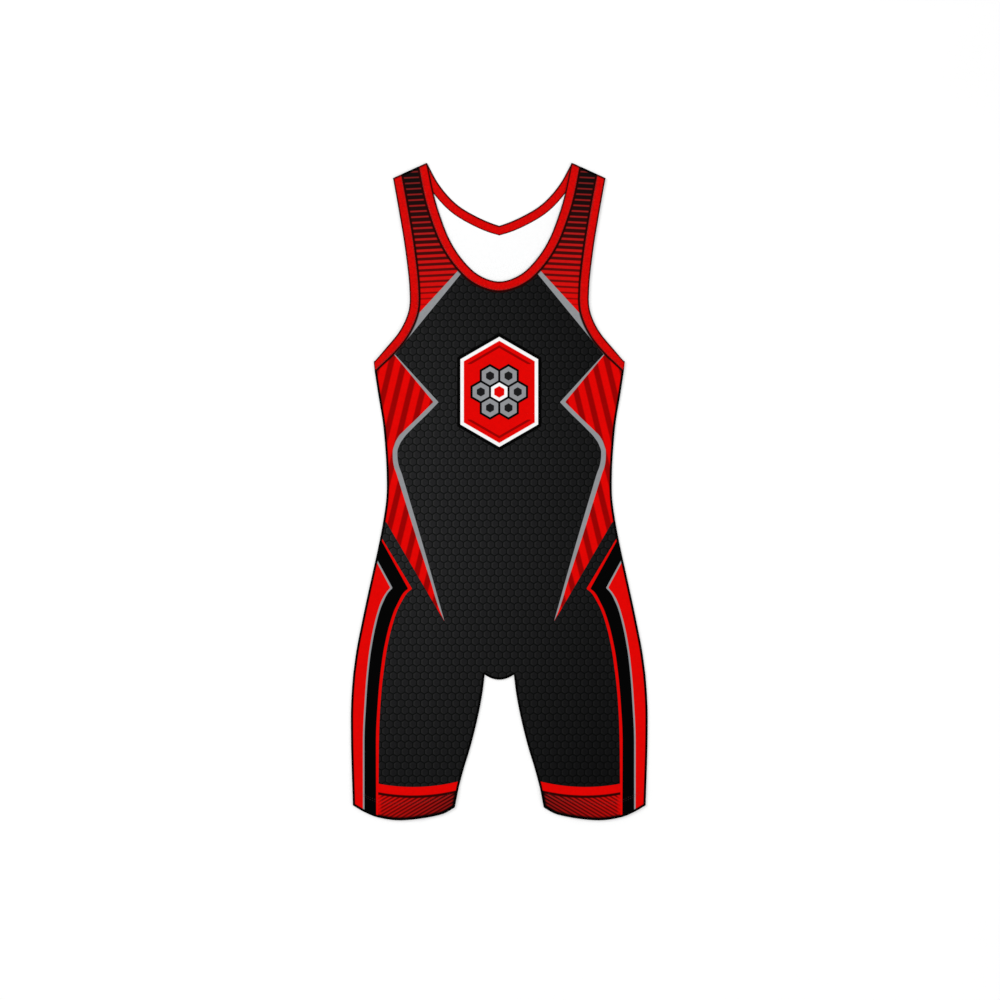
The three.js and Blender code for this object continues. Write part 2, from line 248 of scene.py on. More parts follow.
def rings_of(node, side):
    """The rings round the faces of a solid that look up (side 1) or down (side -1)."""
    same_point, level_enough = 0.2 * MM, 0.5
    shape = bmesh.new()
    shape.from_mesh(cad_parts[node].data)
    bmesh.ops.remove_doubles(shape, verts=shape.verts, dist=same_point)
    faces = [face for face in shape.faces if side * face.normal.z > level_enough]
    chosen = set(faces)
    follow = {}
    for face in faces:
        for loop in face.loops:
            if sum(near in chosen for near in loop.edge.link_faces) == 1:
                follow[loop.vert] = loop.link_loop_next.vert
    rings = []
    while follow:
        here, after = follow.popitem()
        ring = [outline_point(here)]
        while after in follow:
            ring.append(outline_point(after))
            after = follow.pop(after)
        rings.append(ring)
    shape.free()
    return rings


def turns_of(ring):
    """How sharply a ring turns at each of its points, seen from above, in degrees."""
    steps = [(b - a).xy for a, b in round_pairs(ring)]
    before = steps[-1:] + steps[:-1]
    return [math.degrees(abs(a.angle_signed(b))) for a, b in zip(before, steps)]


def stretches_of(ring, corners):
    """A ring cut at its corners into open lines."""
    lines = []
    for start, end in zip(corners, corners[1:] + [corners[0] + len(ring)]):
        lines.append([ring[i % len(ring)] for i in range(start, end + 1)])
    return lines


def ways_through(line, kink=28):
    """The directions in which a smooth line reaches and leaves each of its points."""
    steps = [(b - a).normalized() for a, b in zip(line, line[1:])]
    arriving = [steps[0], *steps]
    leaving = [*steps, steps[-1]]
    for i in range(1, len(line) - 1):
        if math.degrees(steps[i - 1].angle(steps[i])) < kink:
            arriving[i] = leaving[i] = (line[i + 1] - line[i - 1]).normalized()
    return arriving, leaving


def smooth_line(line, parts):
    """A smooth line through some points, with a number of parts for each span."""
    arriving, leaving = ways_through(line)
    points = []
    for i, count in enumerate(parts):
        start, end = line[i], line[i + 1]
        length = (end - start).length
        for t in (step / count for step in range(count)):
            points.append(
                start * (2 * t**3 - 3 * t**2 + 1)
                + leaving[i] * (length * (t**3 - 2 * t**2 + t))
                + end * (3 * t**2 - 2 * t**3)
                + arriving[i + 1] * (length * (t**3 - t**2))
            )
    points.append(line[-1].copy())
    return points


def parts_of(line, step):
    """How many parts of about one step each span of a line takes."""
    return [max(1, round((b - a).length / step)) for a, b in zip(line, line[1:])]


def length_of(line):
    return sum((b - a).length for a, b in zip(line, line[1:]))


def even_line(line, steps):
    """A line cut into a number of equal steps."""
    ends = np.cumsum([0.0] + [(b - a).length for a, b in zip(line, line[1:])])
    places = np.linspace(0, ends[-1], steps + 1)
    columns = [np.interp(places, ends, [point[axis] for point in line]) for axis in range(3)]
    return [Vector(values) for values in zip(*columns)]


def solid_tree(*nodes):
    """A search tree of some solids' faces."""
    points = []
    faces = []
    for node in nodes:
        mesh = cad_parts[node].data
        faces.extend([i + len(points) for i in face.vertices] for face in mesh.polygons)
        points.extend(vertex.co.copy() for vertex in mesh.vertices)
    return BVHTree.FromPolygons(points, faces)


def point_tree(lines):
    """A search tree of the points of some lines, seen from above."""
    points = [point for line in lines for point in line]
    tree = kdtree.KDTree(len(points))
    for index, point in enumerate(points):
        tree.insert((point.x, point.y, 0), index)
    tree.balance()
    return tree


def smooth_share(value):
    share = min(1.0, max(0.0, value))
    return share * share * (3 - 2 * share)


# Panels


class PanelPlan:
    """The flat plan of a panel: its outline, which of its edges are bound, and its points."""

    TUCK = 10.2 * MM  # how far the cloth reaches into a binding's fold
    TUCK_FADE = 8 * MM
    BOUND_WITHIN = 1.2 * MM
    CORNER = 38
    SEAM_INSETS = (0.7 * MM, 1.5 * MM, 2.4 * MM, 3.4 * MM)
    BOUND_INSETS = (0, 1.2 * MM, 2.4 * MM, 4.0 * MM)
    EDGE_STEP = 2.5 * MM
    EDGE_CLEAR = 0.6 * MM
    FILL_CLEAR = 0.5  # of a step
    SAME_POINT = 1e-7
    HEADING_SPAN = 4

    def __init__(self, node, side):
        bindings = solid_tree(*BINDINGS)
        ring = max(rings_of(node, -side), key=len)
        if sum(a.x * b.y - b.x * a.y for a, b in round_pairs(ring)) < 0:
            ring.reverse()
        corners = [i for i, turn in enumerate(turns_of(ring)) if turn > self.CORNER]
        self.seams = []
        self.bound = []
        self.outline = []
        for stretch in stretches_of(ring, corners):
            line = smooth_line(stretch, parts_of(stretch, self.EDGE_STEP))
            if bindings.find_nearest(stretch[len(stretch) // 2])[3] < self.BOUND_WITHIN:
                self.bound.append(line)
                self.outline.extend(self.tucked(line)[:-1])
            else:
                self.seams.append(line)
                self.outline.extend(line[:-1])
        self.hems = [line for line in self.seams if line[len(line) // 2].y < HEM_BELOW * MM]

    def outwards(self, line, index):
        """The way out of the panel, square to one of its edges."""
        before = line[max(0, index - self.HEADING_SPAN)]
        after = line[min(len(line) - 1, index + self.HEADING_SPAN)]
        heading = (after - before).normalized()
        return Vector((heading.y, -heading.x, 0))

    def tucked(self, line):
        """A bound edge moved outwards, into the binding's fold."""
        moved = []
        for index, point in enumerate(line):
            near_end = min(index, len(line) - 1 - index) * self.EDGE_STEP
            reach = self.TUCK * smooth_share(near_end / self.TUCK_FADE)
            moved.append(point + self.outwards(line, index) * reach)
        return moved

    def inset_points(self):
        """Points along and just inside the edges, where the cloth turns or its print changes."""
        for lines, insets in ((self.seams, self.SEAM_INSETS), (self.bound, self.BOUND_INSETS)):
            for line in lines:
                for index in range(1, len(line) - 1):
                    for inset in insets:
                        yield line[index] - self.outwards(line, index) * inset

    def triangles(self, step):
        """Points and triangles that fill the outline."""
        edges = list(round_pairs(range(len(self.outline))))
        points = [point.xy for point in self.outline]
        edge_tree = point_tree([self.outline])
        inset_points = list(self.inset_points())
        inset_tree = point_tree([inset_points])
        for point in inset_points:
            if edge_tree.find((point.x, point.y, 0))[2] > self.EDGE_CLEAR:
                points.append(point.xy)
        low = [min(point[axis] for point in self.outline) for axis in range(2)]
        high = [max(point[axis] for point in self.outline) for axis in range(2)]
        row_step = step * SIXTY_HIGH
        clear = step * self.FILL_CLEAR
        for row in range(round((high[1] - low[1]) / row_step)):
            y = low[1] + (row + 0.5) * row_step
            for column in range(round((high[0] - low[0]) / step)):
                spot = (low[0] + (column + 0.5 * (row % 2)) * step, y, 0)
                if min(tree.find(spot)[2] for tree in (edge_tree, inset_tree)) > clear:
                    points.append(Vector(spot[:2]))
        face = list(range(len(self.outline)))
        found = geometry.delaunay_2d_cdt(points, edges, [face], 1, self.SAME_POINT)
        used = sorted({index for triangle in found[2] for index in triangle})
        place = {index: spot for spot, index in enumerate(used)}
        return [found[0][index] for index in used], [[place[i] for i in t] for t in found[2]]


class PanelCloth:
    """A panel's cloth: outer and inner surfaces over its plan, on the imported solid's form."""

    SMOOTHING = 10
    SMOOTHED_BEYOND = 2 * MM
    TURN_UNDER = 0.35  # share of the cloth left where it turns under at a seam
    TURN_WIDTH = 1.6 * MM
    HEM_DEPTH = 24 * MM
    HEM_FADE = 2 * MM
    HEM_PLY = 0.85  # what the turned-up hem adds, as a share of the knit
    SWELL_FROM = 5 * MM
    SWELL_FADE = 40 * MM
    SHARP = math.radians(50)
    PARTS = 6  # of each step of an edge, when the distance to it is measured

    def __init__(self, node, side):
        self.node = node
        self.side = side
        self.plan = PanelPlan(node, side)
        flat, self.faces = self.plan.triangles(singlet_sizes().mesh_step)
        self.flat = [Vector((point.x, point.y)) for point in flat]
        self.faces = [self.facing_up(face) for face in self.faces]
        used = dict.fromkeys(pair for face in self.faces for pair in round_pairs(face))
        self.rim = [(a, b) for a, b in used if (b, a) not in used]
        self.seam_distance = self.distances(self.plan.seams)
        self.bound_distance = self.distances(self.plan.bound)
        self.hem_distance = self.distances(self.plan.hems)

    def facing_up(self, face):
        a, b, c = (self.flat[i] for i in face[:3])
        face = list(face)
        return face if (b - a).cross(c - a) > 0 else face[::-1]

    def distances(self, lines):
        tree = point_tree([even_line(line, self.PARTS * len(line)) for line in lines])
        return [tree.find((point.x, point.y, 0))[2] for point in self.flat]

    def surface_heights(self):
        """Height of the cloth's outer face at each point, taken from the solids and smoothed."""
        panel = solid_tree(self.node)
        bindings = solid_tree(*BINDINGS)
        knit = singlet_sizes().knit
        look = Vector((0, 0, -self.side))
        inside_fold = (NOSE * MM - knit / 2) * self.side
        known = {}
        for index, point in enumerate(self.flat):
            above = Vector((point.x, point.y, LOOK_FROM * self.side))
            hit = panel.ray_cast(above, look)[0]
            strip = None if hit else bindings.ray_cast(above, look)[0]
            if hit:
                known[index] = hit.z
            elif strip:
                known[index] = strip.z - inside_fold
        reached = list(known)
        tree = point_tree([[self.flat[index] for index in reached]])
        heights = []
        for index, point in enumerate(self.flat):
            nearest = reached[tree.find((point.x, point.y, 0))[1]]
            heights.append(known.get(index, known[nearest]))
        return self.smoothed(np.array(heights))

    def smoothed(self, heights):
        """Heights evened out between neighbours, apart from where the cloth turns under."""
        pairs = np.array([pair for face in self.faces for pair in round_pairs(face)])
        count = np.bincount(pairs[:, 0], minlength=len(heights)) + 1e-9
        free = np.array(self.seam_distance) > self.SMOOTHED_BEYOND
        for _ in range(self.SMOOTHING):
            total = np.bincount(pairs[:, 0], weights=heights[pairs[:, 1]], minlength=len(heights))
            heights = np.where(free, 0.5 * heights + 0.5 * total / count, heights)
        return heights

    def swell(self, index):
        """Extra height of the front where it lies loosely on the back."""
        point = self.flat[index]
        near_edge = min(self.seam_distance[index], self.bound_distance[index])
        total = 0
        for across, along, wide, long, rise in SWELLS:
            reach = math.hypot((point.x / MM - across) / wide, (point.y / MM - along) / long)
            total += rise * (1 - smooth_share(reach)) * MM
        return total * smooth_share((near_edge - self.SWELL_FROM) / self.SWELL_FADE)

    def make(self, name, printed, reverse):
        outer = self.surface_heights()
        knit = singlet_sizes().knit
        if self.side == FRONT:
            outer = outer + np.array([self.swell(i) for i in range(len(self.flat))])
        share = np.array([
            self.TURN_UNDER + (1 - self.TURN_UNDER) * smooth_share(distance / self.TURN_WIDTH)
            for distance in self.seam_distance
        ])
        turned_up = np.array([
            1 + self.HEM_PLY * smooth_share((self.HEM_DEPTH - distance) / self.HEM_FADE)
            for distance in self.hem_distance
        ])
        inner = outer - self.side * knit * share * turned_up
        count = len(self.flat)
        points = [(p.x, p.y, z) for p, z in zip(self.flat, outer)]
        points += [(p.x, p.y, z) for p, z in zip(self.flat, inner)]
        up, down = (0, count) if self.side == FRONT else (count, 0)
        faces = [[i + up for i in face] for face in self.faces]
        faces += [[i + down for i in face[::-1]] for face in self.faces]
        faces += [[a + up, a + down, b + down, b + up] for a, b in self.rim]
        panel = mesh_object(name, points, faces)
        add_point_values(panel, "seam_distance", self.seam_distance * 2)
        # bound_distance places the line of painted shade beside the bindings
        add_point_values(panel, "bound_distance", self.bound_distance * 2)
        for material in (printed, reverse):
            panel.data.materials.append(material)
        first_reverse = len(self.faces) if self.side == FRONT else 0
        for index in range(first_reverse, first_reverse + len(self.faces)):
            panel.data.polygons[index].material_index = 1
        panel.data.set_sharp_from_angle(angle=self.SHARP)
        return panel


def mesh_object(name, points, faces):
    """An object from points and faces. A closed form's faces are turned to look out."""
    places = [Vector(point) for point in points]
    volume = 0
    for first, *rest in faces:
        for b, c in zip(rest, rest[1:]):
            volume += places[first].dot(places[b].cross(places[c]))
    mesh = bpy.data.meshes.new(name)
    mesh.from_pydata(places, [], faces if volume >= 0 else [face[::-1] for face in faces])
    mesh.polygons.foreach_set("use_smooth", [True] * len(mesh.polygons))
    mesh.update()
    piece = bpy.data.objects.new(name, mesh)
    bpy.context.scene.collection.objects.link(piece)
    return piece


def add_point_values(piece, name, values):
    layer = piece.data.attributes.new(name, "FLOAT", "POINT")
    layer.data.foreach_set("value", np.array(values, np.float32))


# Bindings


@dataclass
class Station:
    """A place along a folded strip: a point of the opening's edge, and the way across."""

    edge: Vector
    across: Vector
    levels: tuple  # of the surface between the layers, at the opening and at the panel's edge
    out: Vector
    turn: float  # 0 on the front, half a turn on the back


class BindingStrip:
    """A folded strip that closes round an opening, from its solid's front and back faces."""

    PARTS = 5  # for each span of the solid
    FOLD_STEPS = 8
    CORNERS = 4
    SUNK = 0.02  # how far the stitches' line lies under the strip's outside
    MAP_LINE = 6  # in from the fold, where the length along the strip is measured
    SHARP = math.radians(55)

    def __init__(self, node):
        front = self.stations_along(node, FRONT)
        back = self.stations_along(node, BACK)
        if (front[0].edge - back[0].edge).length > (front[0].edge - back[-1].edge).length:
            back.reverse()
        self.width = front[0].across.length
        near_end = self.fold(front[-1], front[-2])
        far_end = self.fold(front[0], front[1])[::-1]
        self.stations = [*front, *near_end, *back[::-1], *far_end]

    def stations_along(self, node, side):
        """Stations along one layer, paired across from the opening to the panel's edge."""
        ring = max(rings_of(node, side), key=lambda r: side * sum(p.z for p in r) / len(r))
        turns = turns_of(ring)
        corners = sorted(sorted(range(len(ring)), key=lambda i: turns[i])[-self.CORNERS :])
        lines = sorted(stretches_of(ring, corners), key=len)[-2:]
        cloth = solid_tree("front_panel" if side == FRONT else "back_panel")
        lines.sort(key=lambda line: -cloth.find_nearest(line[len(line) // 2])[3])
        opening, seam = (line[1:-1] for line in lines)
        if (opening[0] - seam[0]).length > (opening[0] - seam[-1]).length:
            seam.reverse()
        parts = [self.PARTS] * (len(seam) - 1)
        stations = []
        for edge, far in zip(smooth_line(opening, parts), smooth_line(seam, parts)):
            levels = (
                edge.z - side * (FOLD_RADIUS + NOSE / 2) * MM,
                far.z - side * (FOLD_RADIUS + NOSE) * MM,
            )
            turn = 0 if side == FRONT else math.pi
            stations.append(Station(edge.xy, (far - edge).xy, levels, Vector((0, 0)), turn))
        return stations

    def fold(self, last, before):
        """Stations where the strip turns over, from the front to the back."""
        out = Vector((-last.across.y, last.across.x)).normalized()
        if out.dot(last.edge - before.edge) < 0:
            out = -out
        turns = [math.pi * (i + 1) / self.FOLD_STEPS for i in range(self.FOLD_STEPS - 1)]
        return [Station(last.edge, last.across, last.levels, out, turn) for turn in turns]

    def place(self, station, inwards, height):
        """A point of the strip: its distance in from the opening, and from the strip's middle."""
        share = inwards * MM / self.width
        level = station.levels[0] + (station.levels[1] - station.levels[0]) * share
        radius = (FOLD_RADIUS + height) * MM
        spot = station.edge + station.across * share + station.out * radius * math.sin(station.turn)
        return Vector((spot.x, spot.y, level + radius * math.cos(station.turn)))

    def outer_line(self, inwards):
        """A closed line on the strip's outside, and the way out of the strip at its points."""
        stations = [*self.stations, self.stations[0]]
        line = [self.place(station, inwards, NOSE - self.SUNK) for station in stations]
        above = [self.place(station, inwards, NOSE + 1) for station in stations]
        return line, [high - low for high, low in zip(above, line)]

    def length(self):
        """The strip's length along its middle."""
        return length_of([self.place(station, self.width / MM / 2, 0) for station in self.stations])

    def section(self):
        """The strip's folded section, once round one ply of cloth: on its outside a channel
        along the seam, a soft flat and the nose, then its inside."""
        ply = singlet_sizes().binding_ply / MM
        width = self.width / MM
        hollow = NOSE - ply
        upper = [
            (width, hollow), (width, NOSE - 0.12), (width - 0.5, NOSE - 0.03),
            (width - 1.3, NOSE - 0.02), (width - 1.8, NOSE - 0.14), (width - 2.4, NOSE),
            (6.0, NOSE + 0.04), (2.2, NOSE), (0.9, NOSE - 0.08), (0.25, 0.55 * NOSE),
        ]
        lower = [(inwards, -height) for inwards, height in upper[::-1]]
        return [*upper, (0, 0), *lower, (1.5, -hollow), (1.0, 0), (1.5, hollow)]

    def make(self, name, material):
        section = self.section()
        size = len(section)
        total = len(self.stations)
        points = [
            self.place(station, inwards, height)
            for station in self.stations
            for inwards, height in section
        ]
        faces = []
        for here, after in round_pairs(range(0, total * size, size)):
            for i, j in round_pairs(range(size)):
                faces.append([here + i, here + j, after + j, after + i])
        strip = mesh_object(name, points, faces)
        # How far each point has turned over the fold, for the painted shade where the strip turns
        folding = [math.sin(station.turn) * MM for station in self.stations for _ in section]
        add_point_values(strip, "folding", folding)
        self.add_strip_map(strip, section)
        strip.data.materials.append(material)
        strip.data.set_sharp_from_angle(angle=self.SHARP)
        return strip

    def add_strip_map(self, strip, section):
        """A map of distance along the strip and in from its fold, for the cloth's finish."""
        middle = [self.place(station, self.MAP_LINE, 0) for station in self.stations]
        along = [0.0]
        for before, after in round_pairs(middle):
            along.append(along[-1] + (after - before).length)
        layer = strip.data.uv_layers.new(name="strip")
        size = len(section)
        for face in strip.data.polygons:
            here = face.index // size
            for index in face.loop_indices:
                station, spot = divmod(strip.data.loops[index].vertex_index, size)
                distance = along[here] if station == here else along[here + 1]
                layer.data[index].uv = (distance, section[spot][0] * MM)


# Stitching


def stitch_row(line, ups):
    """Stitches along a line: each a short thread that dips into the cloth at both ends."""
    sides, rings = 6, 5
    spacing, dip, tip = 1.3, 1.3, 0.35  # in lengths of a stitch, and in radii of its thread
    length = singlet_sizes().stitch
    radius = singlet_sizes().thread / 2
    steps = max(1, round(length_of(line) / (spacing * length)))
    spots = even_line(line, steps)
    rises = even_line(ups, steps)
    points = []
    faces = []
    for here, after, rise in zip(spots, spots[1:], rises):
        heading = (after - here).normalized()
        up = rise.normalized()
        across = heading.cross(up).normalized()
        middle = (here + after) / 2
        base = len(points)
        for ring in range(rings):
            share = 2 * ring / (rings - 1) - 1
            size = radius * (tip + (1 - tip) * math.sqrt(max(0.0, 1 - share**4)))
            centre = middle + heading * share * length / 2 - up * radius * dip * share**2
            for side in range(sides):
                angle = 2 * math.pi * side / sides
                points.append(centre + (across * math.cos(angle) + up * math.sin(angle)) * size)
        for start in range(base, base + (rings - 1) * sides, sides):
            for a, b in round_pairs(range(start, start + sides)):
                faces.append([a, b, b + sides, a + sides])
        faces.append([base + side for side in range(sides)][::-1])
        faces.append([base + (rings - 1) * sides + side for side in range(sides)])
    return points, faces


def moved_inwards(line, inset, trim):
    """A line square to an edge's middle and inside it, without that much of its two ends."""
    middle = len(line) // 2
    heading = (line[middle + 1] - line[middle - 1]).normalized()
    inner = [point + Vector((-heading.y, heading.x, 0)) * inset for point in line]
    steps = round(length_of(inner) / MM)
    cut = round(trim / MM)
    return even_line(inner, steps)[cut : steps + 1 - cut]


def laid_on(piece, line, side):
    """A line brought down onto the outer face of a panel, and the way up from it."""
    surface = BVHTree.FromPolygons(
        [vertex.co for vertex in piece.data.vertices],
        [face.vertices for face in piece.data.polygons],
    )
    up = Vector((0, 0, side))
    starts = [Vector((point.x, point.y, LOOK_FROM * side)) for point in line]
    hits = [surface.ray_cast(start, -up)[0] for start in starts]
    spots = [hit for hit in hits if hit]
    return spots, [up] * len(spots)


def join_rows(name, rows, material):
    points = []
    faces = []
    for row_points, row_faces in rows:
        faces.extend([i + len(points) for i in face] for face in row_faces)
        points.extend(row_points)
    stitches = mesh_object(name, points, faces)
    stitches.data.materials.append(material)
    return stitches


# Materials


def feed(tree, place, value):
    """Links a term or a socket to an input of a node, or sets a plain value there."""
    if isinstance(value, Term):
        value = value.socket
    if isinstance(value, bpy.types.NodeSocket):
        tree.links.new(value, place)
    elif place.type == "RGBA":
        place.default_value = (*value, 1)
    else:
        place.default_value = value


class Term:
    """A number in a material's nodes. Sums of terms are written as ordinary sums."""

    def __init__(self, tree, socket):
        self.tree = tree
        self.socket = socket

    def node(self, operation, *others, clamp=False):
        node = self.tree.nodes.new("ShaderNodeMath")
        node.operation = operation
        node.use_clamp = clamp
        for place, value in zip(node.inputs, (self, *others)):
            feed(self.tree, place, value)
        return Term(self.tree, node.outputs[0])

    def __add__(self, other):
        return self.node("ADD", other)

    def __sub__(self, other):
        return self.node("SUBTRACT", other)

    def __mul__(self, other):
        return self.node("MULTIPLY", other)

    def __truediv__(self, other):
        return self.node("DIVIDE", other)

    def __abs__(self):
        return self.node("ABSOLUTE")

    def less_of(self, other):
        return self.node("MINIMUM", other)

    def more_of(self, other):
        return self.node("MAXIMUM", other)

    def flipped(self):
        """1 less this term."""
        return (self * -1) + 1

    def over(self, other, blur=0.35):
        """1 where this term is over the other, 0 where it is under, and soft between."""
        return ((self - other) * (1 / blur)).node("ADD", 0.5, clamp=True)

    def under(self, other, blur=0.35):
        return self.over(other, blur).flipped()

    def wave(self, pitch, centre=0.0):
        """1 at the centre of every stripe of that pitch and 0 half way between."""
        return ((self - centre) * (2 * math.pi / pitch)).node("COSINE") * 0.5 + 0.5

    def between(self, low, high, blur=0.35):
        return self.over(low, blur) * self.under(high, blur)


class Paint:
    """A new material, with colours laid over a first plain one in its nodes."""

    PER_METRE = 1000  # millimetres
    SHEEN_ROUGHNESS = 0.45
    KINK = 0.75  # a change of slope that a curve shows as a corner

    def __init__(self, name, colour, roughness, sheen, specular=0.35):
        self.material = bpy.data.materials.new(name)
        self.material.use_nodes = True
        self.tree = self.material.node_tree
        self.shader = self.tree.nodes["Principled BSDF"]
        self.colour = colour
        for quality, value in (
            ("Roughness", roughness),
            ("Sheen Weight", sheen),
            ("Sheen Roughness", self.SHEEN_ROUGHNESS),
            ("Specular IOR Level", specular),
        ):
            self.shader.inputs[quality].default_value = value

    def finished(self):
        """The material, with its colours on the shader."""
        self.tree.links.new(self.colour, self.shader.inputs["Base Color"])
        return self.material

    def add(self, kind, **inputs):
        node = self.tree.nodes.new(kind)
        for name, value in inputs.items():
            feed(self.tree, node.inputs[name], value)
        return node

    def term(self, socket):
        return Term(self.tree, socket)

    def lengths(self, vector, *axes):
        """Parts of a vector in metres, as terms in millimetres."""
        parts = self.add("ShaderNodeSeparateXYZ", Vector=vector)
        return [self.term(parts.outputs[axis]) * self.PER_METRE for axis in axes]

    def point_value(self, name):
        """A value that the mesh holds at its points, in millimetres."""
        node = self.add("ShaderNodeAttribute")
        node.attribute_name = name
        return self.term(node.outputs["Fac"]) * self.PER_METRE

    def place(self):
        """Across and along the garment, in millimetres."""
        return self.lengths(self.add("ShaderNodeTexCoord").outputs["Object"], "X", "Y")

    def curve(self, along, knots):
        """A value that changes along the garment, such as the half width of a line of the print."""
        knots = sorted((height, half) for half, height in knots)
        slopes = [(b[1] - a[1]) / (b[0] - a[0]) for a, b in zip(knots, knots[1:])]
        slopes = [slopes[0], *slopes, slopes[-1]]
        low, high = knots[0][0], knots[-1][0]
        least = min(half for _, half in knots)
        most = max(half for _, half in knots)
        share = (along - low) / (high - low)
        node = self.add("ShaderNodeFloatCurve", Value=share)
        curve = node.mapping.curves[0]
        while len(curve.points) < len(knots):
            curve.points.new(0.5, 0.5)
        spots = [((y - low) / (high - low), (x - least) / (most - least)) for y, x in knots]
        for point, spot, below, above in zip(curve.points, spots, slopes, slopes[1:]):
            point.location = spot
            point.handle_type = "VECTOR" if abs(above - below) > self.KINK else "AUTO_CLAMPED"
        node.mapping.extend = "HORIZONTAL"
        node.mapping.update()
        return self.term(node.outputs[0]) * (most - least) + least

    def straight(self, across, ends):
        """The height of a straight line of the print at each half width."""
        (x0, y0), (x1, y1) = ends
        slope = (y1 - y0) / (x1 - x0)
        return across * slope + (y0 - slope * x0)

    def mix(self, first, second, mask):
        node = self.tree.nodes.new("ShaderNodeMix")
        node.data_type = "RGBA"
        for place, value in ((0, mask), (6, first), (7, second)):
            feed(self.tree, node.inputs[place], value)
        return node.outputs[2]

    def cover(self, colour, mask):
        """Lays a colour over what is there, as far as the mask goes."""
        self.colour = self.mix(self.colour, colour, mask)

    def lighten(self, share):
        """Makes what is there lighter or darker by a share."""
        node = self.add("ShaderNodeVectorMath")
        node.operation = "SCALE"
        feed(self.tree, node.inputs[0], self.colour)
        feed(self.tree, node.inputs["Scale"], share)
        self.colour = node.outputs[0]


def knit_bump(paint, across, along, strength):
    """The fine rows and wales of the knit, as relief, and their slight change of shade."""
    wale, row, sway, wale_share = 0.9, 0.75, 0.25, 0.6
    wales = across.wave(wale)
    rows = (along + across.wave(2 * wale) * sway).wave(row)
    weave = wales * wale_share + rows * (1 - wale_share)
    bump = paint.add("ShaderNodeBump", Height=weave, Strength=strength, Distance=0.15 * MM)
    paint.tree.links.new(bump.outputs[0], paint.shader.inputs["Normal"])
    return weave


def cloth_grain(paint, scale=260.0, detail=3.0):
    """Uneven dye and fibre, from 0 to 1."""
    spot = paint.add("ShaderNodeTexCoord").outputs["Object"]
    noise = paint.add("ShaderNodeTexNoise", Vector=spot, Scale=scale, Detail=detail)
    return paint.term(noise.outputs["Fac"])


def honeycomb(paint, across, along, colours):
    """Charcoal cells with near-black lines between them and a lit crescent on their left."""
    wide = singlet_sizes().honeycomb / MM
    tall = wide * math.sqrt(3)
    grid_across = across - HONEYCOMB["start_across"]
    grid_along = (along - HONEYCOMB["start_along"]) / HONEYCOMB["stretch"]
    whole_cells = 40  # enough of them to keep every place above 0

    def cell_spot(shift):
        """Place from the middle of the nearest cell of one of the two sets of rows."""
        parts = []
        for value, pitch in ((grid_across, wide), (grid_along, tall)):
            wrapped = (value + pitch * (whole_cells + shift)).node("MODULO", pitch)
            parts.append(wrapped - pitch / 2)
        return parts

    (ax, ay), (bx, by) = cell_spot(0), cell_spot(0.5)
    nearer = (ax * ax + ay * ay).node("LESS_THAN", bx * bx + by * by)
    x = bx + (ax - bx) * nearer
    y = by + (ay - by) * nearer
    reach = abs(x).more_of(abs(x) * 0.5 + abs(y) * SIXTY_HIGH)
    line = reach.over(wide / 2 - HONEYCOMB["half_line"], blur=0.8)
    off_middle = x - HONEYCOMB["crescent_shift"]
    round_reach = (off_middle * off_middle + y * y).node("SQRT")
    on_left = x.under(HONEYCOMB["crescent_end"], blur=2.6)
    crescent = round_reach.over(wide * HONEYCOMB["crescent_inside"], blur=2.2) * on_left
    paint.cover(colours.cell_light, crescent * (cloth_grain(paint, 900.0, 2.0) * 0.5 + 0.65))
    paint.cover(colours.cell_line, line * HONEYCOMB["line_strength"])
    # Painted light: the whole honeycomb lighter at the belly and on the left, darker towards the
    # hems and the right
    sideways = grid_across * HONEYCOMB["light_sideways"] + HONEYCOMB["light_middle"]
    sideways = sideways.less_of(HONEYCOMB["light_most"]).more_of(HONEYCOMB["light_least"])
    paint.lighten(paint.curve(along, HONEYCOMB_PAINTED_LIGHT) * sideways)


def strap_stripes(paint, half, along, colours):
    """Near-level red lines that widen and brighten from charcoal at the shoulder to plain red."""
    stripe = (along + half * STRAP["slope"]).wave(STRAP["pitch"], STRAP["centre"])
    on_line = stripe.over(paint.curve(along, STRAP_THRESHOLD), blur=0.34)
    gap = paint.mix(STRAP_COLOURS["gap"], colours.red, paint.curve(along, STRAP_GAP_RED))
    line = paint.mix(STRAP_COLOURS["line"], colours.red, paint.curve(along, STRAP_LINE_RED))
    return paint.mix(gap, line, on_line)


def flash_stripes(paint, half, along, colours):
    """Broad leaning shade stripes of the side flashes."""
    stripe = (half + along * FLASH["slope"]).wave(FLASH["pitch"], FLASH["centre"])
    return paint.mix(colours.red, colours.red_dark, stripe.over(FLASH["threshold"], blur=0.34))


def cuff_hatch(paint, half, along):
    """Fine slanting hatch below the cuff's red band, darker towards the inseam and the hem."""
    slant = math.radians(HATCH["slant"])
    slanting = along * math.cos(slant) + half * math.sin(slant)
    inward = (half * -1 + HATCH_SHADE["outside"]) / HATCH_SHADE["span"]
    inward = inward.node("ADD", 0, clamp=True)
    low = paint.mix(srgb(132, 3, 2), srgb(42, 3, 3), inward)
    high = paint.mix(srgb(226, 12, 8), srgb(146, 22, 20), inward)
    stripe = slanting.wave(HATCH["pitch"], HATCH["centre"])
    hatch = paint.mix(low, high, stripe.over(0.5, blur=0.6))
    near_hem = along.under(HATCH_SHADE["dark_below"], blur=24)
    return paint.mix(hatch, srgb(40, 2, 2), near_hem * 0.3)


